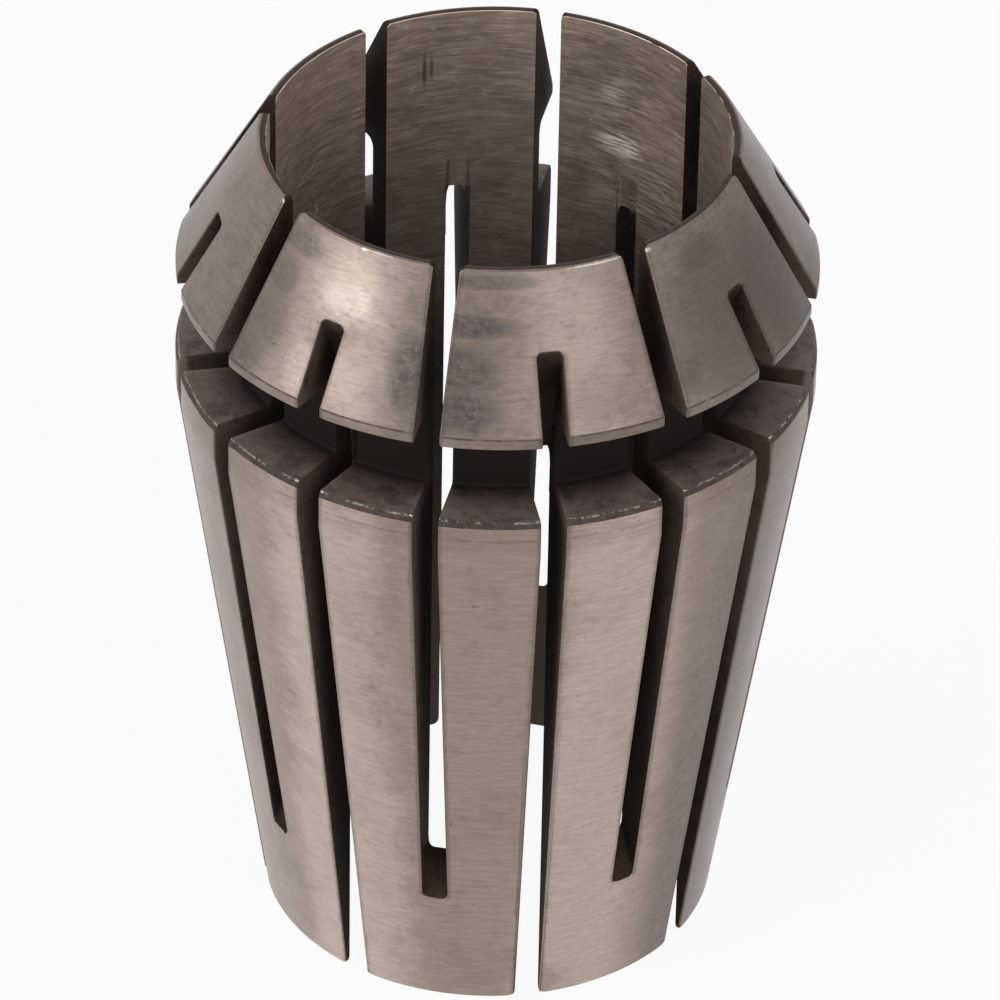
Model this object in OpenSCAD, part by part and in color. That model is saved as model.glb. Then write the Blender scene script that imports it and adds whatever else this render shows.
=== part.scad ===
// Spring collet with a steep ground body, a 30 degree nose and an extraction groove.
// The origin is the centre of the tail face, +Z runs along the axis to the nose.
// All lengths are in millimetres.

/* [Body] */
// Overall length from the tail face to the nose face
length = 36.5; // [32:0.1:42]
// Largest diameter, on the parallel land above the taper
body_d = 26; // [23:0.1:30]
// Height of the parallel land
land_h = 1.35; // [0.8:0.05:2]
// Wall at the tail, which the ground taper runs down to: 0.16 gives it the usual 8 degrees a side
tail_wall = 0.16; // [0.12:0.01:0.6]
// Chamfer round the outer edge of the tail
tail_chamfer = 0.08; // [0.04:0.01:0.1]

/* [Nose] */
// Width of the nose face, from the bore to the cone
nose_wall = 0.35; // [0.25:0.05:0.8]
// Half angle of the nose cone, in degrees
nose_taper = 30; // [28:1:34]
// How far the lip below the cone lies inside the parallel land
lip_inset = 0.05; // [0:0.05:0.3]
// Height of the lip
lip_h = 0.46; // [0.3:0.02:0.8]

/* [Extraction groove] */
// Wall between the bore and the groove's floor
groove_wall = 1.1; // [0.8:0.05:1.6]
// Width of the groove, from its shoulder to the underside of the lip
groove_w = 3.5; // [2.8:0.1:4]
// Fillet between the groove's floor and the underside of the lip
groove_lip_fillet = 0.4; // [0.2:0.05:0.6]
// Fillet between the groove's floor and its shoulder
groove_shoulder_fillet = 0.15; // [0.1:0.05:0.4]
// Width of the unground bevel round the top of the body
bevel_w = 0.14; // [0.1:0.02:0.3]
// Height of the unground bevel
bevel_h = 0.3; // [0.2:0.02:0.5]

/* [Bore] */
// Diameter of the clamping bore
bore_d = 18.6; // [16:0.1:20.9]
// Chamfer at the mouth of the bore
mouth_chamfer = 0.1; // [0.05:0.01:0.15]

/* [Slits] */
// Number of slits that open at the nose, and of slits that open at the tail
slits_per_end = 8; // [6:1:8]
// Width of each slit
slit_w = 1; // [0.8:0.05:1.3]
// Radius of the slitting saw, which rounds the closed end of each slit
saw_r = 20; // [16:1:24]
// Radius of the worn corners of the saw's rim
saw_corner = 0.18; // [0.05:0.01:0.3]
// Height of a front slit's closed end above the tail, on the outside
front_stop = 5.6; // [4.5:0.1:8]
// Depth that the saw reaches through the wall for the front slits
front_reach = 1.5; // [1:0.1:2]
// Distance of a rear slit's closed end below the nose, on the cone
rear_stop = 2.8; // [2.4:0.1:3.6]
// Depth that the saw reaches through the wall for the rear slits
rear_reach = 0.12; // [0.1:0.02:0.4]
// Depth of the shallow saw mark that runs out of each rear slit in the bore
mark_depth = 0.14; // [0.1:0.02:0.3]
// Height of the mark's deepest point above the axis of the rear slit's saw
mark_rise = 2.4; // [1.5:0.1:3]
// Radius of the corners where a front slit opens at the nose
front_mouth = 0.2; // [0.1:0.05:0.3]
// Radius of the corners where a rear slit opens at the tail
rear_mouth = 0.3; // [0.1:0.05:0.5]

/* [Hidden] */
$fn = 96;
// How far a cutter runs past the face that it cuts through
overrun = 1;
slit_pitch = 360 / slits_per_end;

body_r = body_d / 2;
bore_r = bore_d / 2;
lip_r = body_r - lip_inset;
nose_r = bore_r + nose_wall;
groove_r = bore_r + groove_wall;
tail_r = bore_r + tail_wall;

// Heights along the axis, worked out from the nose down
lip_top_z = length - (lip_r - nose_r) / tan(nose_taper);
lip_z = lip_top_z - lip_h;
shoulder_z = lip_z - groove_w;
land_top_z = shoulder_z - bevel_h;
taper_top_z = land_top_z - land_h;
rear_stop_z = length - rear_stop;

// Outside radius at a height on the body taper and on the nose cone
function taper_r(z) = tail_r + (body_r - tail_r) * z / taper_top_z;
function cone_r(z) = nose_r + (length - z) * tan(nose_taper);

// Distance along the axis from the saw's centre to its rim, where the rim stands
// at the given depth past its innermost point
function rim_offset(depth) = sqrt(depth * (2 * saw_r - depth));

front_saw_x = bore_r - front_reach;
front_saw_z = front_stop + rim_offset(taper_r(front_stop) - front_saw_x);
rear_saw_x = bore_r - rear_reach;
rear_saw_z = rear_stop_z - rim_offset(cone_r(rear_stop_z) - rear_saw_x);

// Half section of the turned and ground blank, without its groove
module blank_profile() {
    polygon([
        [0, 0],
        [tail_r - tail_chamfer, 0],
        [taper_r(tail_chamfer), tail_chamfer],
        [body_r, taper_top_z],
        [body_r, land_top_z],
        [body_r - bevel_w, shoulder_z],
        [lip_r, shoulder_z],
        [lip_r, lip_top_z],
        [nose_r, length],
        [0, length],
    ]);
}

// Square corner that a fillet of the given radius leaves standing
module fillet_corner(radius) {
    difference() {
        square(radius);
        translate([radius, radius])
            circle(radius);
    }
}

// Half section of the extraction groove, with a fillet in each inner corner
module groove_profile() {
    difference() {
        translate([groove_r, shoulder_z])
            square([body_r - groove_r + overrun, groove_w]);
        translate([groove_r, shoulder_z])
            fillet_corner(groove_shoulder_fillet);
        translate([groove_r, lip_z])
            mirror([0, 1])
                fillet_corner(groove_lip_fillet);
    }
}

// Solid blank, turned all over and ground on the body and the nose
module blank() {
    difference() {
        rotate_extrude()
            blank_profile();
        rotate_extrude()
            groove_profile();
    }
}

// Straight clamping bore with its chamfered mouth
module bore() {
    translate([0, 0, -overrun])
        cylinder(r = bore_r, h = length + 2 * overrun);
    translate([0, 0, length - mouth_chamfer])
        cylinder(r1 = bore_r, r2 = bore_r + mouth_chamfer + overrun, h = mouth_chamfer + overrun);
}

// Straight run of a slit, from the given radius outwards and between two heights
module slit_run(x, z_low, z_high) {
    translate([x, -slit_w / 2, z_low])
        cube([saw_r, slit_w, z_high - z_low]);
}

// Half section of the slitting saw, drawn in radius and thickness
module saw_profile() {
    translate([0, -slit_w / 2])
        square([saw_r - saw_corner, slit_w]);
    translate([0, saw_corner - slit_w / 2])
        square([saw_r, slit_w - 2 * saw_corner]);
    for (side = [-1, 1])
        translate([saw_r - saw_corner, side * (slit_w / 2 - saw_corner)])
            circle(saw_corner);
}

// The slitting saw, standing in the plane of the slit at the given radius and height
module saw(x, z) {
    translate([x, 0, z])
        rotate([90, 0, 0])
            rotate_extrude()
                saw_profile();
}

// Slit that opens at the nose and ends in the saw's arc above the tail
module front_slit() {
    saw(front_saw_x + saw_r, front_saw_z);
    slit_run(front_saw_x, front_saw_z, length + overrun);
}

// Slit that opens at the tail and ends in the saw's arc on the nose cone
module rear_slit() {
    saw(rear_saw_x + saw_r, rear_saw_z);
    slit_run(rear_saw_x, -overrun, rear_saw_z);
}

// Shallow mark in the bore above a rear slit, left by the saw from the far side
module run_out_mark() {
    intersection() {
        saw(bore_r + mark_depth - saw_r, rear_saw_z + mark_rise);
        translate([bore_r - overrun, -slit_w, rear_saw_z])
            cube([saw_r, 2 * slit_w, saw_r]);
    }
}

// Widening of a slit at an end face, which leaves a round corner on each side of it
module slit_mouth(radius) {
    rotate([90, 0, 90])
        linear_extrude(body_r + overrun)
            difference() {
                translate([-slit_w / 2 - radius, -radius])
                    square([slit_w + 2 * radius, radius + overrun]);
                for (side = [-1, 1])
                    translate([side * (slit_w / 2 + radius), -radius])
                        circle(radius);
            }
}

// The collet, slit from both ends in turn
module collet() {
    color("silver")
        difference() {
            blank();
            bore();
            for (i = [0 : slits_per_end - 1]) {
                rotate([0, 0, i * slit_pitch - 90]) {
                    front_slit();
                    translate([0, 0, length])
                        slit_mouth(front_mouth);
                }
                rotate([0, 0, (i + 0.5) * slit_pitch - 90]) {
                    rear_slit();
                    run_out_mark();
                    mirror([0, 0, 1])
                        slit_mouth(rear_mouth);
                }
            }
        }
}

collet();
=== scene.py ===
"""Spring collet of the 26 mm class, standing on its tail: its steel finishes, its studio and its camera."""

import logging
import math
from dataclasses import dataclass, field
from enum import Enum

import bmesh
import bpy
from mathutils import Matrix, Vector


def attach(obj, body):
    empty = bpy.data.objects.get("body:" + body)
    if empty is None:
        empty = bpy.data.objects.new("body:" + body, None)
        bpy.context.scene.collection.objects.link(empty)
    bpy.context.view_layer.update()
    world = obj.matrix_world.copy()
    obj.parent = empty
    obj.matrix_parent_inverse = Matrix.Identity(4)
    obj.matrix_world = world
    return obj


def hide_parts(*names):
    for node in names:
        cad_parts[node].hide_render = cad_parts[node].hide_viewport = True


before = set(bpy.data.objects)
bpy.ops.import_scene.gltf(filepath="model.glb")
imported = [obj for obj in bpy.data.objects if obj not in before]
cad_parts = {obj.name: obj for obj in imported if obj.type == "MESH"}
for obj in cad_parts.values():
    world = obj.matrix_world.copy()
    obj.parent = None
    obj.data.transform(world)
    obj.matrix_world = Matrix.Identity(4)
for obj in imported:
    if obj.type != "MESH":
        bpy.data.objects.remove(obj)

# One millimetre in metres, which all Blender objects here are in
MM = 0.001
# Angle between the slits of one end, and from a slit that opens at the nose to one that opens at the tail
PITCH = 45.0
HALF_PITCH = 22.5
# Distance under which two points of a mesh are one
TINY = 0.001 * MM
# Pieces that a small round corner is drawn with
ARC_STEPS = 6
# Pieces that a broken edge or a worn one is drawn with
EDGE_STEPS = 3
# Half the width of a slit, the height where the front slits end and the height where the rear slits end
SLIT_HALF = 0.5
FRONT_SLIT_END = 5.55
REAR_SLIT_END = 33.6
# Upper edge of the unground ring round the top of the body, and the radius at which the nose face ends
RING_TOP = 26.8
FACE_EDGE = 9.59
# Reach along the axis of a patch that covers the whole height
TALL = 60.0

Colour = tuple[float, float, float, float]
Socket = bpy.types.NodeSocket
BMesh = bmesh.types.BMesh
log = logging.getLogger("collet")


class Zone(Enum):
    """Surfaces of the collet that were made in different ways, in the order of their material slots."""

    BODY = 0
    CONE = 1
    TURNED = 2
    RING = 3
    BORE = 4
    SAWN = 5


class Value:
    """A number inside a material, on which Python's operators add Math nodes."""

    def __init__(self, kit: "NodeKit", socket: Socket) -> None:
        """Wraps one output socket.

        Args:
            kit: the material that the socket belongs to.
            socket: the output that carries the number.
        """
        self.kit = kit
        self.socket = socket

    def _math(self, operation: str, *terms: "Value | float", clamp: bool = False) -> "Value":
        """Adds one Math node.

        Args:
            operation: the node's operation.
            terms: the values that it works on, in order.
            clamp: whether the result is kept between 0 and 1.

        Returns:
            The node's result.
        """
        inputs = {index: term for index, term in enumerate(terms)}
        node = self.kit.add("ShaderNodeMath", {"operation": operation, "use_clamp": clamp}, inputs)
        return Value(self.kit, node.outputs[0])

    def __add__(self, other: "Value | float") -> "Value":
        """Sum of two values."""
        return self._math("ADD", self, other)

    def __radd__(self, other: float) -> "Value":
        """Sum with a plain number in front."""
        return self._math("ADD", other, self)

    def __sub__(self, other: "Value | float") -> "Value":
        """Difference of two values."""
        return self._math("SUBTRACT", self, other)

    def __rsub__(self, other: float) -> "Value":
        """Difference from a plain number."""
        return self._math("SUBTRACT", other, self)

    def __mul__(self, other: "Value | float") -> "Value":
        """Product of two values."""
        return self._math("MULTIPLY", self, other)

    def __rmul__(self, other: float) -> "Value":
        """Product with a plain number in front."""
        return self._math("MULTIPLY", other, self)

    def __truediv__(self, other: "Value | float") -> "Value":
        """Quotient of two values."""
        return self._math("DIVIDE", self, other)

    def absolute(self) -> "Value":
        """The value without its sign."""
        return self._math("ABSOLUTE", self)

    def power(self, exponent: float) -> "Value":
        """The value raised to a power."""
        return self._math("POWER", self, exponent)

    def least(self, other: "Value | float") -> "Value":
        """The smaller of two values."""
        return self._math("MINIMUM", self, other)

    def most(self, other: "Value | float") -> "Value":
        """The larger of two values."""
        return self._math("MAXIMUM", self, other)

    def within(self) -> "Value":
        """The value kept between 0 and 1."""
        return self._math("ADD", self, 0.0, clamp=True)

    def step(self, low: float, high: float) -> "Value":
        """Smooth rise from 0 to 1 as the value goes from low to high, or a fall where low is the larger.

        Args:
            low: the value at which the result is 0.
            high: the value at which the result is 1.

        Returns:
            The smoothed share.
        """
        settings = {"interpolation_type": "SMOOTHSTEP", "clamp": True}
        if low < high:
            inputs = {"Value": self, "From Min": low, "From Max": high, "To Min": 0.0, "To Max": 1.0}
        else:
            inputs = {"Value": self, "From Min": high, "From Max": low, "To Min": 1.0, "To Max": 0.0}
        return Value(self.kit, self.kit.add("ShaderNodeMapRange", settings, inputs).outputs["Result"])


class NodeKit:
    """Builds the nodes of one material or of the world."""

    def __init__(self, tree: bpy.types.NodeTree) -> None:
        """Empties a node tree and prepares the coordinates that it is asked for.

        Args:
            tree: the tree to fill.
        """
        self.tree = tree
        self.tree.nodes.clear()
        self._coordinates: bpy.types.Node | None = None

    def add(self, kind: str, settings: dict | None = None, inputs: dict | None = None) -> bpy.types.Node:
        """Adds one node.

        Args:
            kind: the node's type.
            settings: its properties, which are set before its sockets.
            inputs: values or links of its input sockets, by name or by number.

        Returns:
            The new node.
        """
        node = self.tree.nodes.new(kind)
        for name, value in (settings or {}).items():
            setattr(node, name, value)
        for name, value in (inputs or {}).items():
            self.feed(node.inputs[name], value)
        return node

    def feed(self, socket: Socket, value: object) -> None:
        """Links a value to an input socket, or writes a plain number or colour into it.

        Args:
            socket: the input.
            value: the value, link, number or colour.
        """
        if isinstance(value, Value):
            self.tree.links.new(value.socket, socket)
        elif isinstance(value, Socket):
            self.tree.links.new(value, socket)
        else:
            socket.default_value = value

    def place(self) -> Socket:
        """Position on the piece, in millimetres.

        Returns:
            The vector.
        """
        if self._coordinates is None:
            source = self.add("ShaderNodeTexCoord")
            self._coordinates = self.add(
                "ShaderNodeVectorMath",
                {"operation": "SCALE"},
                {"Vector": source.outputs["Object"], "Scale": 1.0 / MM},
            )
        return self._coordinates.outputs["Vector"]

    def parts(self) -> tuple[Value, Value, Value]:
        """The three coordinates of the position, in millimetres."""
        node = self.add("ShaderNodeSeparateXYZ", inputs={"Vector": self.place()})
        return tuple(Value(self, node.outputs[axis]) for axis in "XYZ")

    def vector(self, x: object, y: object, z: object) -> Socket:
        """Joins three numbers into a vector."""
        return self.add("ShaderNodeCombineXYZ", inputs={"X": x, "Y": y, "Z": z}).outputs["Vector"]

    def noise(self, where: object, scale: float, detail: float = 3.0, rough: float = 0.5,
              twist: float = 0.0) -> Value:
        """Soft random pattern.

        Args:
            where: the vector that it is read at.
            scale: how many waves there are to a unit.
            detail: how many finer layers are added.
            rough: how strong the finer layers are.
            twist: how far the pattern is distorted.

        Returns:
            A value about 0.5.
        """
        inputs = {"Vector": where, "Scale": scale, "Detail": detail, "Roughness": rough, "Distortion": twist}
        return Value(self, self.add("ShaderNodeTexNoise", {"noise_dimensions": "3D"}, inputs).outputs["Fac"])

    def blend(self, share: object, first: object, second: object) -> Socket:
        """Mixes two colours.

        Args:
            share: how much of the second colour shows.
            first: the colour at 0.
            second: the colour at 1.

        Returns:
            The mixed colour.
        """
        node = self.add("ShaderNodeMix", {"data_type": "RGBA", "clamp_factor": True})
        self.feed(node.inputs[0], share)
        self.feed(node.inputs[6], first)
        self.feed(node.inputs[7], second)
        return node.outputs[2]

    def tone(self, colour: object, level: Value) -> Socket:
        """Makes a colour lighter or darker by a factor."""
        scaled = self.add("ShaderNodeVectorMath", {"operation": "SCALE"}, {0: colour, "Scale": level})
        return scaled.outputs["Vector"]


@dataclass(frozen=True)
class Patch:
    """One soft patch of a surface, placed by its angle from the -Y side and its height above the tail."""

    angle: float
    height: float
    across: float
    along: float
    share: float = 1.0


class Surface:
    """Patterns on the collet, which its finishes are put together from. Lengths are in millimetres."""

    def __init__(self, kit: NodeKit) -> None:
        """Reads the position on the collet.

        Args:
            kit: the material that the patterns go into.
        """
        self.kit = kit
        self.x, self.y, self.z = kit.parts()
        self.radius = (self.x * self.x + self.y * self.y).power(0.5)

    def lines(self, pitch: float, spread: float = 0.35, detail: float = 3.0) -> Value:
        """Marks that run round the axis, as turning and grinding leave them.

        Args:
            pitch: how closely they lie.
            spread: how quickly they change on their way round.
            detail: how many finer layers are added.

        Returns:
            A value about 0.5.
        """
        along = self.kit.vector(self.x * spread, self.y * spread, (self.z - self.radius) * pitch)
        return self.kit.noise(along, 1.0, detail, 0.62)

    def cloud(self, scale: float, shift: float = 0.0, detail: float = 3.0) -> Value:
        """Soft uneven areas, about 0.5."""
        where = self.kit.vector(self.x + shift, self.y, self.z)
        return self.kit.noise(where, scale, detail, 0.6, 0.4)

    def hairs(self, tilt: float, pitch: float, shift: float = 0.0) -> Value:
        """Fine single scratches that run round the axis at a slant.

        Args:
            tilt: how much they climb on their way.
            pitch: how closely they lie.
            shift: sets one family of scratches apart from another.

        Returns:
            The share of the surface that they take, from 0 to 1.
        """
        climb = (self.z + (self.x + self.y) * tilt) * pitch
        where = self.kit.vector(self.x * 0.5 + shift, self.y * 0.5, climb)
        ridge = (self.kit.noise(where, 1.0, 1.0, 0.5) - 0.5).absolute().step(0.03, 0.008)
        return ridge * self.cloud(0.9, shift + 5.0).step(0.5, 0.62)

    def side(self, angle: float) -> tuple[Value, Value]:
        """Distances across and towards one side of the collet.

        Args:
            angle: angle of that side from the -Y side.

        Returns:
            The distance round the axis from the side, and the distance out towards it.
        """
        turn = math.radians(angle)
        across = self.x * math.cos(turn) + self.y * math.sin(turn)
        return across, self.x * math.sin(turn) - self.y * math.cos(turn)

    def off_slits(self, first: float) -> Value:
        """Distance from the nearest wall of the slits of one end.

        Args:
            first: angle of their first slit from the -Y side.

        Returns:
            The distance, which is 0 at the wall.
        """
        nearest = self.side(first)[0].absolute()
        for index in range(1, 4):
            nearest = nearest.least(self.side(first + index * PITCH)[0].absolute())
        return nearest - SLIT_HALF

    def patches(self, places: tuple[Patch, ...], wobble: Value) -> Value:
        """Joins soft patches into one share.

        Args:
            places: the patches.
            wobble: an uneven value about 0.5, which frays their edges.

        Returns:
            The share, from 0 to 1.
        """
        fray, faint, full = 3.0, 1.5, 0.1
        share = None
        for place in places:
            across, out = self.side(place.angle)
            high = (self.z - place.height) / place.along
            wide = across / place.across
            reach = wide * wide + high * high + (wobble - 0.5) * fray
            one = reach.step(faint, full) * out.step(2.0, 5.0) * place.share
            share = one if share is None else share.most(one)
        return wobble * 0.0 if share is None else share

    def shading(self, places: tuple[Patch, ...], wobble: Value) -> Value:
        """Adds soft patches up into a factor that paints light over 1 and shade under 1.

        Args:
            places: the patches, with a share below 0 where they paint shade.
            wobble: an uneven value about 0.5, which frays their edges.

        Returns:
            The factor.
        """
        level = wobble * 0.0 + 1.0
        for place in places:
            level = level + self.patches((place,), wobble)
        return level


@dataclass(frozen=True)
class Look:
    """What a finish hands to its shader."""

    colour: Socket
    roughness: Value
    relief: Value
    depth: float
    metallic: Value | None = None


@dataclass(frozen=True)
class Finish:
    """A finish of the steel, with its main colour and the colour of its hollows."""

    name: str
    tint: Colour
    shade: Colour
    gloss: float
    metallic: float = 1.0
    specular: float = 0.5

    def look(self, surface: Surface) -> Look:
        """Puts the finish together, which each kind of finish does in its own way.

        Args:
            surface: the patterns that it may use.

        Returns:
            Its colour, roughness and relief.
        """
        raise NotImplementedError(self.name)

    def material(self) -> bpy.types.Material:
        """Builds the finish.

        Returns:
            The material, ready for a slot.
        """
        made = bpy.data.materials.new(self.name)
        made.use_nodes = True
        kit = NodeKit(made.node_tree)
        look = self.look(Surface(kit))
        bump = kit.add("ShaderNodeBump", inputs={"Height": look.relief, "Strength": 0.35,
                                                 "Distance": look.depth * MM})
        shader = kit.add("ShaderNodeBsdfPrincipled", inputs={
            "Base Color": look.colour,
            "Metallic": look.metallic or self.metallic,
            "Roughness": look.roughness,
            "Specular IOR Level": self.specular,
            "Normal": bump.outputs["Normal"],
        })
        kit.add("ShaderNodeOutputMaterial", inputs={"Surface": shader.outputs["BSDF"]})
        return made


@dataclass(frozen=True)
class GroundFinish(Finish):
    """Ground steel: fine lines round the axis, small pits, smudges and a brown edge along the slits.

    The smudges are oil, and on the right-hand petals of the nose painted shade as well. The painted light
    and shade are brighter and duller spots, the brightest whitened by a painted highlight, and small painted
    glints lie on the rim. A thin dark line runs round at the height of the seam, brown lines lie above the
    height of the land, and the nose face is above the rim.
    """

    stain: Colour = (0.12, 0.1, 0.09, 1.0)
    oil_and_shade: Colour = (0.05, 0.05, 0.054, 1.0)
    soot: Colour = (0.05, 0.038, 0.03, 1.0)
    brown: Colour = (0.2, 0.145, 0.11, 1.0)
    # Whiter colour that the painted highlight turns to
    highlight_white: Colour = (0.68, 0.64, 0.62, 1.0)
    glint_colour: Colour = (0.7, 0.63, 0.58, 1.0)
    face: Colour = (0.04, 0.029, 0.024, 1.0)
    pitch: float = 8.0
    spread: float = 0.9
    stains: float = 0.25
    mottle: float = 0.14
    # Oil smudges, which on the right-hand petals of the nose also stand for painted shade
    smudges_and_shade: tuple[Patch, ...] = ()
    # Painted light and shade: brighter and duller spots
    lights: tuple[Patch, ...] = ()
    # Painted glints: small bright spots on the rim
    rim_glints: tuple[Patch, ...] = ()
    seam: float = -10.0
    seam_share: float = 0.7
    land: float = 100.0
    rim: float = 100.0

    def worn(self, surface: Surface, mottle: Value, pits: Value) -> Value:
        """Joins the pits, the dark edges along the slits and the dark seam.

        Args:
            surface: the patterns of the collet.
            mottle: the broad unevenness, which frays the edges.
            pits: the share that the pits take.

        Returns:
            The share of the surface that they darken.
        """
        far = 9.0
        rear_end = surface.z.step(REAR_SLIT_END, REAR_SLIT_END + 0.15)
        front_end = surface.z.step(FRONT_SLIT_END + 0.15, FRONT_SLIT_END)
        rear = surface.off_slits(HALF_PITCH) + rear_end * far
        front = surface.off_slits(0.0) + front_end * far
        edge = (rear.least(front) + (mottle - 0.5) * 0.3).step(0.26, 0.06)
        line = (surface.z - self.seam + (mottle - 0.5) * 0.06).absolute().step(0.06, 0.015)
        return (pits * 0.5).most(edge * 0.4).most(line * mottle.step(0.3, 0.5) * self.seam_share)

    def look(self, surface: Surface) -> Look:
        """Puts the ground finish together.

        Args:
            surface: the patterns that it may use.

        Returns:
            Its colour, roughness and relief.
        """
        kit = surface.kit
        lines = surface.lines(self.pitch, self.spread)
        fine = surface.lines(self.pitch * 2.5, self.spread * 2.0, 1.0)
        cloud = surface.cloud(0.3)
        mottle = surface.cloud(1.6, 20.0)
        grime = surface.cloud(4.0, 60.0, 4.0)
        pits = surface.cloud(3.0, 40.0, 1.0).step(0.76, 0.82)
        colour = kit.blend((lines * 0.6 + fine * 0.4).step(0.32, 0.66), self.shade, self.tint)
        colour = kit.blend(cloud.step(0.45, 0.75) * self.stains, colour, self.stain)
        colour = kit.blend(mottle.step(0.5, 0.7) * self.mottle, colour, self.stain)
        # Oil smudges darken the colour, and on the right-hand petals of the nose they are painted shade as
        # well.
        smudge_and_shade = surface.patches(self.smudges_and_shade, mottle * 0.6 + grime * 0.4)
        smudge_and_shade = smudge_and_shade * ((grime * 0.7 + fine * 0.3).step(0.3, 0.66) * 0.75 + 0.35)
        hairs = surface.hairs(0.9, 1.6).most(surface.hairs(-0.5, 1.9, 14.0))
        colour = kit.blend(smudge_and_shade.most(hairs * self.stains * 0.4), colour, self.oil_and_shade)
        # Painted light and shade scale the colour, and where the painted light is strongest a painted
        # highlight whitens it.
        painted_level = surface.shading(self.lights, cloud * 0.6 + grime * 0.4)
        painted_whitening = (painted_level - 1.22).within() * grime.step(0.25, 0.6)
        colour = kit.blend(painted_whitening * 0.55, kit.tone(colour, painted_level), self.highlight_white)
        brown = surface.z.step(self.land, self.land + 0.3) * lines.step(0.42, 0.56) * 0.35
        colour = kit.blend(brown, colour, self.brown)
        colour = kit.blend(self.worn(surface, mottle, pits), colour, self.soot)
        on_face = (surface.radius + (grime - 0.5) * 0.06).step(FACE_EDGE, FACE_EDGE - 0.06)
        colour = kit.blend(surface.z.step(self.rim, self.rim + 0.02) * on_face, colour, self.face)
        # Painted glints: small bright spots on the rim.
        colour = kit.blend(surface.patches(self.rim_glints, grime), colour, self.glint_colour)
        gloss = lines * 0.12 + cloud * 0.14 + smudge_and_shade * 0.06 + (self.gloss - 0.13)
        return Look(colour, gloss, lines * 0.7 + fine * 0.3 - pits * 0.8, 0.02)


@dataclass(frozen=True)
class BoreFinish(Finish):
    """Wall of the bore: brushed by the shanks that it held, with brown stains and light scratches."""

    rust: Colour = (0.36, 0.215, 0.13, 1.0)
    scratch_and_highlight: Colour = (0.95, 0.88, 0.8, 1.0)
    oil_and_shade: Colour = (0.03, 0.021, 0.016, 1.0)
    # Painted shade: the bore darkens from the first height down to the second
    bright_down_to: float = 35.5
    dark_from: float = 18.5
    # Painted highlights where light falls through the mouth onto the far wall
    painted_highlights: tuple[Patch, ...] = ()
    marks: tuple[Patch, ...] = ()
    # Painted light and shade: brighter and duller areas of the bore
    lights: tuple[Patch, ...] = ()

    def look(self, surface: Surface) -> Look:
        """Puts the finish of the bore together.

        Args:
            surface: the patterns that it may use.

        Returns:
            Its colour, roughness and relief.
        """
        kit = surface.kit
        broad = surface.lines(4.0, 0.5)
        fine = surface.lines(14.0, 0.9, 2.0)
        cloud = surface.cloud(0.7, 7.0)
        # Painted shade: darker deeper down the bore, where its inside lies in shade.
        depth = surface.z.step(self.bright_down_to, self.dark_from) * 0.97
        colour = kit.blend((broad * 0.5 + fine * 0.5).step(0.34, 0.66), self.shade, self.tint)
        colour = kit.blend(cloud.step(0.5, 0.74) * 0.36, colour, self.rust)
        scratch = fine.step(0.56, 0.66) * surface.cloud(0.8, 33.0).step(0.46, 0.6)
        hairs = surface.hairs(0.12, 5.0).most(surface.hairs(-0.1, 4.0, 21.0))
        brushed = (broad * 0.4 + fine * 0.6).step(0.42, 0.58)
        # Painted highlights where light falls through the mouth, blended with the light scratches.
        highlight_share = surface.patches(self.painted_highlights, broad * 0.5 + cloud * 0.5) * brushed
        colour = kit.blend((scratch * 0.4).most(hairs * 0.45).most(highlight_share), colour, self.scratch_and_highlight)
        colour = kit.blend(depth, colour, self.oil_and_shade)
        # Painted light and shade scale the colour.
        colour = kit.tone(colour, surface.shading(self.lights, cloud))
        colour = kit.blend(surface.patches(self.marks, cloud), colour, self.oil_and_shade)
        gloss = fine * 0.16 + cloud * 0.1 + (self.gloss - 0.13)
        metallic = self.metallic - highlight_share * 0.75 - scratch * 0.15
        return Look(colour, gloss, broad * 0.4 + fine * 0.6, 0.025, metallic)


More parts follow.
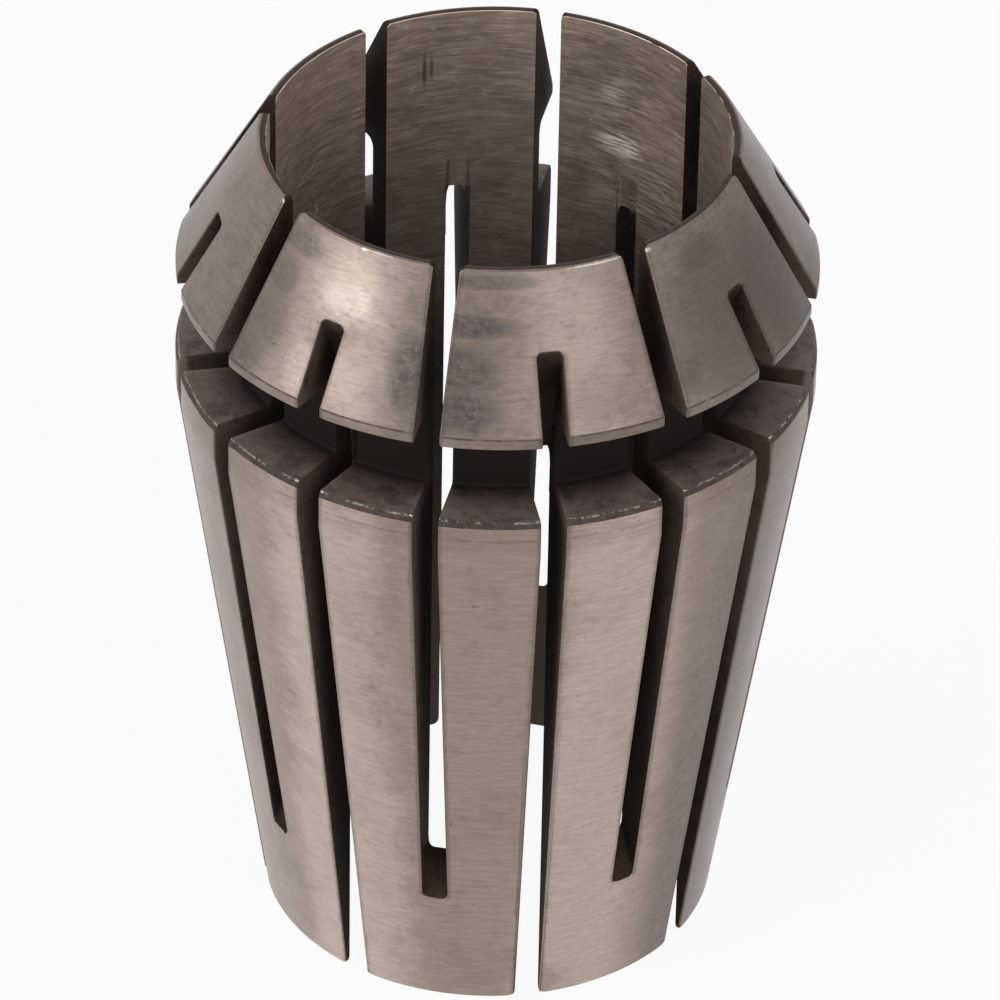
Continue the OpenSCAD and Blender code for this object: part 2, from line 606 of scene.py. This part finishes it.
@dataclass(frozen=True)
class DarkFinish(Finish):
    """Unground steel, dark with old oil: rough and mottled, and lighter out towards the body by painted
    light.

    Painted shade darkens the groove's floor corner, the flecks are painted glints, the pale patches are outer
    strips of a slit's wall, and the glints are bright corners of the ring.
    """

    painted_light_colour: Colour = (0.3, 0.24, 0.21, 1.0)
    dirt_and_shade_colour: Colour = (0.014, 0.0098, 0.0082, 1.0)
    pale_strip_colour: Colour = (0.34, 0.27, 0.235, 1.0)
    glint: Colour = (0.85, 0.8, 0.76, 1.0)
    inner: float = 10.4
    outer: float = 12.9
    # Strength of the painted light out towards the body
    share: float = 0.5
    glint_flecks: float = 0.0
    glints: float = 0.0
    relief: float = 0.02
    scale: float = 1.1
    # Strength of the broad dirt and of the painted shade in the groove's floor corner
    corner: float = 0.0
    pale_strips: tuple[Patch, ...] = ()

    def outer_strips(self, surface: Surface) -> Value:
        """Finds the outermost strip of the walls with pale strips, which follows the taper of the body.

        Args:
            surface: the patterns of the collet.

        Returns:
            The share that it takes.
        """
        taper, tail_r = 0.1406, 9.46
        buried = surface.z * taper + tail_r - surface.radius
        even = surface.z * 0.0 + 0.5
        return surface.patches(self.pale_strips, even) * buried.step(0.75, 0.4)

    def ring_lights(self, surface: Surface, mottle: Value, grain: Value) -> Value:
        """Finds the bright corners beside the slits and the broken light line round the top of the ring.

        Args:
            surface: the patterns of the collet.
            mottle: the broad unevenness, which bends the line.
            grain: the fine unevenness, which breaks it up.

        Returns:
            The share of the surface that they take.
        """
        beside = surface.off_slits(0.0).absolute().least(surface.off_slits(HALF_PITCH).absolute())
        corners = (beside - 0.1).step(0.14, 0.05) * grain.step(0.42, 0.56)
        corners = corners * surface.z.step(RING_TOP - 0.08, RING_TOP) * self.glints
        line = (surface.z + (mottle - 0.5) * 0.08 - (RING_TOP - 0.03)).absolute().step(0.05, 0.02)
        broken = (surface.cloud(1.0, 50.0) * 0.5 + grain * 0.5).step(0.46, 0.6)
        return corners.most(line * broken * 0.3)

    def look(self, surface: Surface) -> Look:
        """Puts the dark finish together.

        Args:
            surface: the patterns that it may use.

        Returns:
            Its colour, roughness and relief.
        """
        kit = surface.kit
        lines = surface.lines(3.5, 0.6)
        mottle = surface.cloud(self.scale, 11.0)
        grain = surface.cloud(6.0, 23.0)
        base = mottle * 0.5 + lines * 0.2 + grain * 0.3
        colour = kit.blend(base.step(0.36, 0.64), self.shade, self.tint)
        # Painted light: lighter out towards the body, darker deeper in the slits and the groove.
        out = surface.radius.step(self.inner + 0.2, self.outer - 0.5) * self.share
        colour = kit.blend(out * (mottle * 0.5 + grain * 0.5).step(0.2, 0.55), colour, self.painted_light_colour)
        # Painted glints: light flecks.
        colour = kit.blend(grain.step(0.56, 0.7) * self.glint_flecks, colour, self.painted_light_colour)
        # Broad dirt, and painted shade in the groove's floor corner under the lip.
        dirt = surface.cloud(0.7, 9.0).step(0.5, 0.68) * self.corner * 0.5
        painted_floor_shade = (surface.radius + mottle * 0.3).step(self.inner + 0.75, self.inner + 0.3) * self.corner
        colour = kit.blend(dirt.most(painted_floor_shade), colour, self.dirt_and_shade_colour)
        # Pale outer strips on two slit walls.
        colour = kit.blend(self.outer_strips(surface), colour, self.pale_strip_colour)
        if self.glints:
            colour = kit.blend(self.ring_lights(surface, mottle, grain), colour, self.glint)
        gloss = mottle * 0.2 + painted_floor_shade * 0.3 + (self.gloss - 0.1)
        return Look(colour, gloss, mottle * 0.6 + grain * 0.4, self.relief)


def mesh_object(mesh: BMesh, name: str, slots: list[bpy.types.Material]) -> bpy.types.Object:
    """Puts a mesh into an object of the scene.

    Args:
        mesh: the mesh, which is used up.
        name: name of the object.
        slots: its materials.

    Returns:
        The object.
    """
    data = bpy.data.meshes.new(name)
    mesh.to_mesh(data)
    mesh.free()
    for slot in slots:
        data.materials.append(slot)
    made = bpy.data.objects.new(name, data)
    bpy.context.collection.objects.link(made)
    return made


@dataclass
class Collet:
    """The collet with its edges broken as on the real one. All sizes are in millimetres."""

    length: float = 36.5
    body_d: float = 26.0
    land_h: float = 1.35
    tail_wall: float = 0.16
    nose_wall: float = 0.35
    nose_taper: float = 30.0
    lip_inset: float = 0.05
    lip_h: float = 0.46
    groove_wall: float = 1.1
    groove_w: float = 3.5
    groove_lip_fillet: float = 0.4
    groove_shoulder_fillet: float = 0.15
    bevel_w: float = 0.14
    bevel_h: float = 0.3
    bore_d: float = 18.6
    slits_per_end: int = 8
    slit_w: float = 1.0
    saw_r: float = 20.0
    saw_corner: float = 0.18
    front_stop: float = 5.6
    front_reach: float = 1.5
    rear_stop: float = 2.8
    rear_reach: float = 0.12
    mark_depth: float = 0.14
    mark_rise: float = 2.4
    front_mouth: float = 0.2
    rear_mouth: float = 0.3
    facets: int = 144
    saw_facets: int = 360
    overrun: float = 1.0
    slit_break: float = 0.08
    other_break: float = 0.05
    finishes: dict[Zone, Finish] = field(default_factory=dict)

    def __post_init__(self) -> None:
        """Works out the sizes that follow from the others."""
        self.body_r = self.body_d / 2
        self.bore_r = self.bore_d / 2
        self.lip_r = self.body_r - self.lip_inset
        self.nose_r = self.bore_r + self.nose_wall
        self.groove_r = self.bore_r + self.groove_wall
        self.tail_r = self.bore_r + self.tail_wall
        self.lip_top_z = self.length - (self.lip_r - self.nose_r) / math.tan(math.radians(self.nose_taper))
        self.lip_z = self.lip_top_z - self.lip_h
        self.shoulder_z = self.lip_z - self.groove_w
        self.land_top_z = self.shoulder_z - self.bevel_h
        self.taper_top_z = self.land_top_z - self.land_h
        self.front_saw_x = self.bore_r - self.front_reach
        front_r = self.tail_r + (self.body_r - self.tail_r) * self.front_stop / self.taper_top_z
        self.front_saw_z = self.front_stop + self.rim_offset(front_r - self.front_saw_x)
        self.rear_saw_x = self.bore_r - self.rear_reach
        rear_z = self.length - self.rear_stop
        rear_r = self.nose_r + self.rear_stop * math.tan(math.radians(self.nose_taper))
        self.rear_saw_z = rear_z - self.rim_offset(rear_r - self.rear_saw_x)

    def rim_offset(self, depth: float) -> float:
        """Distance along the axis from the saw's centre to its rim at a depth past its innermost point."""
        return math.sqrt(depth * (2 * self.saw_r - depth))

    def materials(self) -> list[bpy.types.Material]:
        """Materials of all zones, in the order of their slots."""
        return [self.finishes[zone].material() for zone in Zone]

    def section(self) -> BMesh:
        """Draws the turned half section as a closed outline in the XZ plane.

        Returns:
            A mesh of one outline, with its fillets in the groove.
        """
        corners = [
            (self.bore_r, 0.0),
            (self.tail_r, 0.0),
            (self.body_r, self.taper_top_z),
            (self.body_r, self.land_top_z),
            (self.body_r - self.bevel_w, self.shoulder_z),
            (self.groove_r, self.shoulder_z),
            (self.groove_r, self.lip_z),
            (self.lip_r, self.lip_z),
            (self.lip_r, self.lip_top_z),
            (self.nose_r, self.length),
            (self.bore_r, self.length),
        ]
        mesh = bmesh.new()
        points = [mesh.verts.new((r * MM, 0.0, z * MM)) for r, z in corners]
        mesh.faces.new(points)
        for corner, radius in ((points[5], self.groove_shoulder_fillet), (points[6], self.groove_lip_fillet)):
            bmesh.ops.bevel(mesh, geom=[corner], offset=radius * MM, offset_type="OFFSET", segments=ARC_STEPS,
                            profile=0.5, affect="VERTICES", clamp_overlap=False, material=-1)
        bmesh.ops.delete(mesh, geom=list(mesh.faces), context="FACES_ONLY")
        return mesh

    def zone_at(self, face: bmesh.types.BMFace) -> Zone:
        """Finds the zone that a face of the blank belongs to.

        Args:
            face: the face.

        Returns:
            Its zone.
        """
        centre = face.calc_center_median() / MM
        outward = face.normal.x * centre.x + face.normal.y * centre.y
        if outward < -0.5 and centre.xy.length < self.groove_r - 0.2:
            return Zone.BORE
        if centre.z > self.lip_z + 0.01:
            return Zone.CONE
        if centre.z > self.shoulder_z - 0.01:
            return Zone.TURNED
        if centre.z > self.land_top_z:
            return Zone.RING
        return Zone.BODY

    def blank(self) -> BMesh:
        """Spins the half section into the solid blank and marks its zones.

        Returns:
            The blank as a closed mesh.
        """
        mesh = self.section()
        bmesh.ops.spin(mesh, geom=list(mesh.verts) + list(mesh.edges), cent=(0, 0, 0), axis=(0, 0, 1),
                       angle=math.tau, steps=self.facets, use_merge=True)
        bmesh.ops.remove_doubles(mesh, verts=mesh.verts, dist=TINY)
        half_step = Matrix.Rotation(math.pi / self.facets, 3, "Z")
        bmesh.ops.rotate(mesh, verts=mesh.verts, cent=(0, 0, 0), matrix=half_step)
        bmesh.ops.recalc_face_normals(mesh, faces=mesh.faces)
        for face in mesh.faces:
            face.material_index = self.zone_at(face).value
        return mesh

    def saw(self, x: float, z: float, planes: list[tuple[Vector, Vector]]) -> tuple[BMesh, list]:
        """Makes the slitting saw with the worn corners of its rim, trimmed to the part that meets the wall.

        Args:
            x: radius at which the saw's centre stands.
            z: height of the saw's centre.
            planes: planes to trim by, each as a point and the direction of the side that is kept.

        Returns:
            The closed mesh, and the face that closes it on the last plane.
        """
        mesh = bmesh.new()
        upright = Matrix.Translation(Vector((x, 0.0, z)) * MM) @ Matrix.Rotation(math.pi / 2, 4, "X")
        radius = self.saw_r * MM
        bmesh.ops.create_cone(mesh, cap_ends=True, segments=self.saw_facets, radius1=radius, radius2=radius,
                              depth=self.slit_w * MM, matrix=upright)
        rim = {edge for face in mesh.faces if len(face.verts) > 4 for edge in face.edges}
        bmesh.ops.bevel(mesh, geom=list(rim), offset=self.saw_corner * MM, offset_type="OFFSET",
                        segments=EDGE_STEPS, profile=0.5, affect="EDGES", clamp_overlap=False, material=-1)
        caps = []
        for point, side in planes:
            whole = [*mesh.verts, *mesh.edges, *mesh.faces]
            cut = bmesh.ops.bisect_plane(mesh, geom=whole, dist=TINY, plane_co=point * MM, plane_no=side,
                                         clear_inner=True)
            loop = [item for item in cut["geom_cut"] if isinstance(item, bmesh.types.BMEdge)]
            caps = bmesh.ops.edgeloop_fill(mesh, edges=loop)["faces"]
        return mesh, caps

    def slit(self, inner: float, height: float, run: float) -> BMesh:
        """Makes the space that the saw sweeps for one slit: half the disc, drawn out to the open end.

        Args:
            inner: least radius that the rim of the saw reaches.
            height: height of the saw's centre.
            run: how far the saw goes on from there, upwards where it is positive.

        Returns:
            The closed mesh, about the +X axis.
        """
        outside = (Vector((self.body_r + self.overrun, 0.0, 0.0)), Vector((-1.0, 0.0, 0.0)))
        level = (Vector((0.0, 0.0, height)), Vector((0.0, 0.0, -math.copysign(1.0, run))))
        mesh, cap = self.saw(inner + self.saw_r, height, [outside, level])
        drawn = bmesh.ops.extrude_face_region(mesh, geom=cap)["geom"]
        moved = [item for item in drawn if isinstance(item, bmesh.types.BMVert)]
        bmesh.ops.translate(mesh, verts=moved, vec=(0, 0, run * MM))
        bmesh.ops.delete(mesh, geom=cap, context="FACES_ONLY")
        return mesh

    def run_out(self) -> BMesh:
        """Makes the shallow mark that the saw leaves in the bore above a rear slit, about the +X axis.

        Returns:
            The closed mesh.
        """
        inside = (Vector((self.bore_r - self.overrun, 0.0, 0.0)), Vector((1.0, 0.0, 0.0)))
        level = (Vector((0.0, 0.0, self.rear_saw_z)), Vector((0.0, 0.0, 1.0)))
        reach = self.bore_r + self.mark_depth - self.saw_r
        return self.saw(reach, self.rear_saw_z + self.mark_rise, [inside, level])[0]

    def mouth(self, radius: float, height: float, up: float) -> BMesh:
        """Makes the widening of a slit where it opens at an end face, with a round corner on each side.

        Args:
            radius: radius of the corners.
            height: height of the end face.
            up: 1 where the face looks up, -1 where it looks down.

        Returns:
            The closed mesh, about the +X axis.
        """
        mesh = bmesh.new()
        half = self.slit_w / 2 + radius
        start = self.bore_r - self.overrun
        outline = [(-half, up), (half, up), (half, 0.0), (half - radius, -radius * up),
                   (radius - half, -radius * up), (-half, 0.0)]
        points = [mesh.verts.new((start * MM, across * MM, (height + rise) * MM)) for across, rise in outline]
        for a in (0, 1, 3, 5):
            mesh.edges.new((points[a], points[(a + 1) % 6]))
        for a, b, side in ((2, 3, 1.0), (5, 4, -1.0)):
            axis = (start * MM, side * half * MM, (height - radius * up) * MM)
            arc = bmesh.ops.spin(mesh, geom=[points[a]], cent=axis, axis=(1, 0, 0), steps=ARC_STEPS,
                                 angle=side * up * math.pi / 2)
            bmesh.ops.remove_doubles(mesh, verts=[points[b]] + arc["geom_last"], dist=TINY)
        sheet = bmesh.ops.contextual_create(mesh, geom=list(mesh.edges))["faces"]
        grown = bmesh.ops.extrude_face_region(mesh, geom=sheet, use_keep_orig=True)["geom"]
        far = [item for item in grown if isinstance(item, bmesh.types.BMVert)]
        bmesh.ops.translate(mesh, verts=far, vec=((self.body_r + self.overrun - start) * MM, 0, 0))
        return mesh

    def around(self, mesh: BMesh, first: float) -> BMesh:
        """Repeats one cutter for every slit of its end.

        Args:
            mesh: the cutter, about the +X axis.
            first: angle of the first slit, in pitches from the -Y side.

        Returns:
            The same mesh with all the cutters, every face facing out.
        """
        pitch = math.tau / self.slits_per_end
        more = self.slits_per_end - 1
        bmesh.ops.rotate(mesh, verts=mesh.verts, cent=(0, 0, 0),
                         matrix=Matrix.Rotation(first * pitch - math.pi / 2, 3, "Z"))
        bmesh.ops.spin(mesh, geom=[*mesh.verts, *mesh.edges, *mesh.faces], cent=(0, 0, 0), axis=(0, 0, 1),
                       angle=pitch * more, steps=more, use_duplicate=True)
        bmesh.ops.recalc_face_normals(mesh, faces=mesh.faces)
        return mesh

    def cutters(self) -> dict[str, tuple[BMesh, Zone]]:
        """Prepares all cuts in the order in which they are made.

        Returns:
            The cutters and the zone of the surface that each leaves, by name.
        """
        front = self.slit(self.front_saw_x, self.front_saw_z, self.length + self.overrun - self.front_saw_z)
        rear = self.slit(self.rear_saw_x, self.rear_saw_z, -self.rear_saw_z - self.overrun)
        return {
            "front_slits": (self.around(front, 0.0), Zone.SAWN),
            "rear_slits": (self.around(rear, 0.5), Zone.SAWN),
            "front_mouths": (self.around(self.mouth(self.front_mouth, self.length, 1.0), 0.0), Zone.SAWN),
            "rear_mouths": (self.around(self.mouth(self.rear_mouth, 0.0, -1.0), 0.5), Zone.SAWN),
            "run_outs": (self.around(self.run_out(), 0.5), Zone.BORE),
        }

    def cut(self, piece: bpy.types.Object, tool: bpy.types.Object) -> None:
        """Cuts a tool's space out of the piece and removes the tool.

        Args:
            piece: the piece.
            tool: the tool.
        """
        modifier = piece.modifiers.new("cut", "BOOLEAN")
        modifier.operation = "DIFFERENCE"
        modifier.solver = "MANIFOLD"
        modifier.object = tool
        depsgraph = bpy.context.evaluated_depsgraph_get()
        result = bpy.data.meshes.new_from_object(piece.evaluated_get(depsgraph))
        piece.modifiers.clear()
        piece.data = result
        bpy.data.objects.remove(tool)

    def edge_break(self, edge: bmesh.types.BMEdge) -> float:
        """Finds how far an edge of the cut blank is broken.

        Args:
            edge: the edge, between two faces.

        Returns:
            The width of the break, and 0 where the edge stays as it is.
        """
        least_angle = math.radians(20)
        if len(edge.link_faces) != 2 or not edge.is_convex or edge.calc_face_angle() < least_angle:
            return 0.0
        zones = {Zone(face.material_index) for face in edge.link_faces}
        middle = (edge.verts[0].co + edge.verts[1].co) / 2 / MM
        if Zone.BORE in zones or middle.xy.length < self.bore_r + 0.05 or middle.z < self.rear_mouth:
            return self.other_break
        if Zone.SAWN in zones or middle.z > self.length - self.front_mouth / 2:
            return self.slit_break
        return self.other_break

    def break_edges(self, piece: bpy.types.Object) -> None:
        """Rounds the edges as the deburring and the use have left them.

        Args:
            piece: the cut blank.
        """
        widest = 0.1
        mesh = bmesh.new()
        mesh.from_mesh(piece.data)
        bmesh.ops.remove_doubles(mesh, verts=mesh.verts, dist=2 * TINY)
        bmesh.ops.dissolve_degenerate(mesh, edges=mesh.edges, dist=2 * TINY)
        weights = mesh.edges.layers.float.new("bevel_weight_edge")
        open_edges = 0
        for edge in mesh.edges:
            edge[weights] = self.edge_break(edge) / widest
            open_edges += len(edge.link_faces) != 2
        for face in mesh.faces:
            face.smooth = True
        log.info("volume %.1f mm3, %d open edges", mesh.calc_volume() / MM ** 3, open_edges)
        mesh.to_mesh(piece.data)
        mesh.free()
        bevel = piece.modifiers.new("edge_break", "BEVEL")
        bevel.limit_method = "WEIGHT"
        bevel.width = widest * MM
        bevel.segments = EDGE_STEPS
        bevel.profile = 0.5
        bevel.material = -1
        bevel.use_clamp_overlap = False
        bevel.loop_slide = False
        normals = piece.modifiers.new("face_normals", "WEIGHTED_NORMAL")
        normals.mode = "FACE_AREA"
        normals.weight = 80
        normals.keep_sharp = True

    def build(self) -> bpy.types.Object:
        """Makes the collet.

        Returns:
            The finished piece.
        """
        slots = self.materials()
        piece = mesh_object(self.blank(), "collet_steel", slots)
        for name, (mesh, zone) in self.cutters().items():
            for face in mesh.faces:
                face.material_index = zone.value
            self.cut(piece, mesh_object(mesh, name, slots))
        self.break_edges(piece)
        return piece


def direction(azimuth: float, elevation: float) -> Vector:
    """Points from the collet towards a place.

    Args:
        azimuth: angle from the -Y side towards the +X side, in degrees.
        elevation: angle above the floor, in degrees.

    Returns:
        The direction, of length 1.
    """
    turn, rise = math.radians(azimuth), math.radians(elevation)
    return Vector((math.sin(turn) * math.cos(rise), -math.cos(turn) * math.cos(rise), math.sin(rise)))


@dataclass(frozen=True)
class PhotoCamera:
    """The camera of the photograph, fitted to the slits and the rims. Lengths are in millimetres."""

    lens: float = 273.757
    azimuth: float = 11.854
    elevation: float = 36.256
    roll: float = 1.038
    distance: float = 314.3
    height: float = 15.858
    aim_right: float = 0.31
    aim_up: float = 2.228

    def build(self) -> bpy.types.Object:
        """Adds the camera and makes it the scene's own.

        Returns:
            The camera.
        """
        back = direction(self.azimuth, self.elevation)
        right = Matrix.Rotation(math.radians(self.roll), 3, back) @ direction(self.azimuth + 90.0, 0.0)
        up = back.cross(right)
        centre = Vector((0.0, 0.0, self.height)) * MM
        place = centre + back * self.distance * MM
        aim = centre + (right * self.aim_right + up * self.aim_up) * MM
        sight = (place - aim).normalized()
        across = up.cross(sight).normalized()
        upward = sight.cross(across)
        data = bpy.data.cameras.new("photo_camera")
        data.lens = self.lens
        data.sensor_width = 36.0
        data.clip_start, data.clip_end = 0.01, 20.0
        camera = bpy.data.objects.new("photo_camera", data)
        axes = Matrix((across, upward, sight)).transposed().to_4x4()
        camera.matrix_world = Matrix.Translation(place) @ axes
        bpy.context.collection.objects.link(camera)
        bpy.context.scene.camera = camera
        return camera


@dataclass(frozen=True)
class SoftBox:
    """One soft lamp, placed by its direction from the collet. Lengths are in millimetres."""

    name: str
    azimuth: float
    elevation: float
    distance: float
    width: float
    height: float
    power: float
    aim_height: float = 18.0

    def build(self) -> bpy.types.Object:
        """Adds the lamp, turned towards the collet.

        Returns:
            The lamp.
        """
        back = direction(self.azimuth, self.elevation)
        middle = Vector((0.0, 0.0, self.aim_height * MM))
        data = bpy.data.lights.new(self.name, "AREA")
        data.shape = "RECTANGLE"
        data.size, data.size_y = self.width * MM, self.height * MM
        data.energy = self.power
        lamp = bpy.data.objects.new(self.name, data)
        lamp.location = back * self.distance * MM + middle
        lamp.rotation_mode = "QUATERNION"
        lamp.rotation_quaternion = back.to_track_quat("Z", "Y")
        bpy.context.collection.objects.link(lamp)
        return lamp


@dataclass
class Studio:
    """White floor, white surroundings and soft lamps."""

    lamps: list[SoftBox] = field(default_factory=list)
    ambient: float = 0.35
    whiteness: float = 0.93
    floor_reach: float = 4000.0
    floor_gap: float = 0.02

    def seen(self, kit: NodeKit) -> Value:
        """Share of a ray that looks straight, in a reflection or through glass, which sees plain white.

        Args:
            kit: the nodes that it goes into.

        Returns:
            The share, 0 or 1.
        """
        path = kit.add("ShaderNodeLightPath")
        rays = [Value(kit, path.outputs[f"Is {kind} Ray"]) for kind in ("Camera", "Glossy", "Transmission")]
        return rays[0].most(rays[1]).most(rays[2])

    def floor(self) -> bpy.types.Object:
        """Adds the white floor, on which a faint shadow of the collet stays.

        Returns:
            The floor.
        """
        mesh = bmesh.new()
        bmesh.ops.create_grid(mesh, x_segments=1, y_segments=1, size=self.floor_reach * MM,
                              matrix=Matrix.Translation((0.0, 0.0, -self.floor_gap * MM)))
        finish = bpy.data.materials.new("white_paper")
        finish.use_nodes = True
        kit = NodeKit(finish.node_tree)
        grain = kit.noise(kit.place(), 0.6, 3.0)
        paper = kit.blend(grain, (0.86, 0.86, 0.86, 1.0), (0.9, 0.9, 0.9, 1.0))
        matte = kit.add("ShaderNodeBsdfDiffuse", inputs={"Color": paper})
        white = kit.add("ShaderNodeEmission", inputs={"Color": (1.0, 1.0, 1.0, 1.0), "Strength": 1.0})
        mixed = kit.add("ShaderNodeMixShader", inputs={
            0: self.seen(kit) * self.whiteness, 1: matte.outputs[0], 2: white.outputs[0]})
        kit.add("ShaderNodeOutputMaterial", inputs={"Surface": mixed.outputs[0]})
        made = mesh_object(mesh, "studio_floor", [finish])
        return made

    def world(self) -> None:
        """Sets the surroundings: white to the camera and in reflections, and a soft fill elsewhere."""
        world = bpy.data.worlds.new("studio_world")
        bpy.context.scene.world = world
        world.use_nodes = True
        kit = NodeKit(world.node_tree)
        fill = kit.add("ShaderNodeBackground", inputs={"Color": (1, 1, 1, 1), "Strength": self.ambient})
        white = kit.add("ShaderNodeBackground", inputs={"Color": (1, 1, 1, 1), "Strength": 1.0})
        mixed = kit.add("ShaderNodeMixShader", inputs={
            0: self.seen(kit), 1: fill.outputs[0], 2: white.outputs[0]})
        kit.add("ShaderNodeOutputWorld", inputs={"Surface": mixed.outputs[0]})

    def build(self) -> None:
        """Adds the floor, the surroundings and the lamps."""
        self.floor()
        self.world()
        for lamp in self.lamps:
            lamp.build()


def ground_body() -> GroundFinish:
    """Finish of the ground body, where two strips catch the light and those at the right lie in shade.

    Returns:
        The finish.
    """
    strips = ((37, 3.0, 0.4), (-20.5, 2.7, 0.44), (-34, 3.2, 0.14), (62, 3.2, -0.16), (82, 5.0, -0.34))
    return GroundFinish(
        name="ground_body",
        tint=(0.345, 0.27, 0.236, 1.0),
        shade=(0.275, 0.215, 0.186, 1.0),
        gloss=0.34, stains=0.16, seam=25.95, seam_share=0.3, land=25.2,
        lights=tuple(Patch(angle, 15.0, across, TALL, share) for angle, across, share in strips),
    )


def ground_nose() -> GroundFinish:
    """Finish of the nose cone and the lip, with oil smudges, painted light and shade, and painted glints.

    Returns:
        The finish.
    """
    # Oil smudges; those on the right-hand petals, from 50 to 78 degrees, are painted shade as well.
    smudges_and_shade = (
        Patch(-4.6, 32.9, 1.0, 1.5, 0.75),
        Patch(-4.5, 35.1, 0.7, 0.5, 0.3),
        Patch(-36.0, 35.7, 1.3, 0.45, 0.5),
        Patch(-38.5, 34.3, 0.9, 0.9, 0.45),
        Patch(-37.5, 32.6, 1.1, 1.2, 0.42),
        Patch(-40.5, 31.2, 1.2, 0.7, 0.5),
        Patch(6.0, 34.6, 2.1, 0.45, 0.7),
        Patch(4.5, 33.0, 1.7, 1.0, 0.66),
        Patch(5.5, 31.7, 1.7, 0.8, 0.75),
        Patch(11.0, 36.1, 1.8, 0.25, 0.5),
        Patch(61.0, 33.0, 3.2, 2.6, 0.4),
        Patch(62.0, 35.4, 1.4, 0.7, 0.5),
        Patch(50.0, 32.0, 0.8, 0.9, 0.5),
        Patch(78.0, 33.0, 2.5, 2.5, 0.4),
    )
    # Painted light and shade: highlights on the left-hand petals, shade towards the right
    lights = (
        Patch(-21.0, 34.9, 2.1, 1.1, 0.25),
        Patch(-21.0, 34.65, 1.2, 0.6, 0.13),
        Patch(-26.5, 31.9, 0.8, 1.0, 0.28),
        Patch(-13.5, 32.2, 1.5, 1.8, 0.12),
        Patch(-27.0, 36.0, 1.2, 0.4, 0.1),
        Patch(34.0, 33.2, 2.6, 4.0, -0.1),
        Patch(88.0, 33.0, 6.5, 6.0, -0.32),
        Patch(-20.0, 30.5, 6.0, 0.3, 0.25),
    )
    # Painted glints on the rim
    rim_glints = (
        Patch(-20.6, 36.43, 0.13, 0.05, 0.6),
        Patch(-16.5, 36.46, 0.6, 0.03, 0.3),
        Patch(36.0, 36.45, 1.2, 0.04, 0.45),
        Patch(48.6, 36.38, 0.16, 0.08, 0.6),
        Patch(-48.3, 36.4, 0.16, 0.1, 0.6),
    )
    return GroundFinish(
        name="ground_nose",
        tint=(0.255, 0.203, 0.176, 1.0),
        shade=(0.2, 0.158, 0.137, 1.0),
        gloss=0.34, pitch=5.0, spread=1.0, stains=0.4, mottle=0.3, seam=30.784, rim=36.45,
        smudges_and_shade=smudges_and_shade, lights=lights, rim_glints=rim_glints,
    )


def brushed_bore() -> BoreFinish:
    """Finish of the bore, with painted highlights and shade and the two short dark marks near the nose.

    Returns:
        The finish.
    """
    # Painted highlights where light falls through the mouth onto the far wall
    highlight_spots = (
        Patch(161.5, 33.4, 0.8, 1.2, 0.55),
        Patch(160.5, 31.0, 1.2, 0.7, 1.0),
        Patch(165.0, 28.3, 0.7, 2.4, 0.4),
        Patch(147.0, 28.6, 1.4, 2.0, 0.35),
    )
    # Painted light and shade on the bore
    lights = (
        Patch(147.0, 30.3, 2.3, 3.4, 0.4),
        Patch(122.0, 33.5, 3.0, 4.0, -0.22),
        Patch(-157.0, 31.0, 3.6, 6.5, -0.25),
        Patch(162.5, 34.4, 2.2, 1.5, -0.24),
    )
    return BoreFinish(
        name="brushed_bore",
        tint=(0.72, 0.59, 0.5, 1.0),
        shade=(0.46, 0.36, 0.3, 1.0),
        gloss=0.5, metallic=0.9, painted_highlights=highlight_spots, lights=lights,
        marks=(Patch(-148.4, 33.7, 0.1, 0.9, 0.6), Patch(-150.3, 33.9, 0.08, 0.6, 0.5)),
    )


def steel_finishes() -> dict[Zone, Finish]:
    """Sets the finish of every zone.

    Returns:
        The finishes, by zone.
    """
    groove = DarkFinish(
        name="turned_groove",
        tint=(0.075, 0.057, 0.051, 1.0),
        shade=(0.05, 0.038, 0.033, 1.0),
        painted_light_colour=(0.28, 0.217, 0.195, 1.0),
        gloss=0.55, metallic=0.4, specular=0.2, share=0.85, scale=1.8, corner=0.85,
    )
    ring = DarkFinish(
        name="unground_ring",
        tint=(0.05, 0.038, 0.032, 1.0),
        shade=(0.028, 0.021, 0.018, 1.0),
        gloss=0.6, metallic=0.6, specular=0.3, share=0.15, glint_flecks=0.22, glints=0.8, relief=0.05,
    )
    walls = DarkFinish(
        name="sawn_walls",
        tint=(0.058, 0.04, 0.032, 1.0),
        shade=(0.032, 0.0215, 0.017, 1.0),
        painted_light_colour=(0.16, 0.115, 0.095, 1.0),
        gloss=0.7, metallic=0.0, specular=0.04, share=0.8,
        pale_strips=(Patch(-69.9, 13.0, 0.3, TALL), Patch(92.4, 13.0, 0.3, TALL)),
    )
    return {
        Zone.BODY: ground_body(),
        Zone.CONE: ground_nose(),
        Zone.TURNED: groove,
        Zone.RING: ring,
        Zone.BORE: brushed_bore(),
        Zone.SAWN: walls,
    }


def main() -> None:
    """Builds the scene in order and reports each piece."""
    logging.basicConfig(level=logging.INFO, format="%(name)s: %(message)s")
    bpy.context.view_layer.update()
    bpy.context.scene.view_settings.view_transform = "Standard"
    PhotoCamera().build()
    Studio(lamps=[
        SoftBox("key", -52.0, 32.0, 700.0, 450.0, 450.0, 1.6),
        SoftBox("side", 44.0, 36.0, 700.0, 350.0, 450.0, 1.0),
    ]).build()
    collet = Collet(finishes=steel_finishes()).build()
    log.info("%s: %d faces", collet.name, len(collet.data.polygons))
    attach(collet, "root")
    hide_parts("collet")


if __name__ == "__main__":
    main()
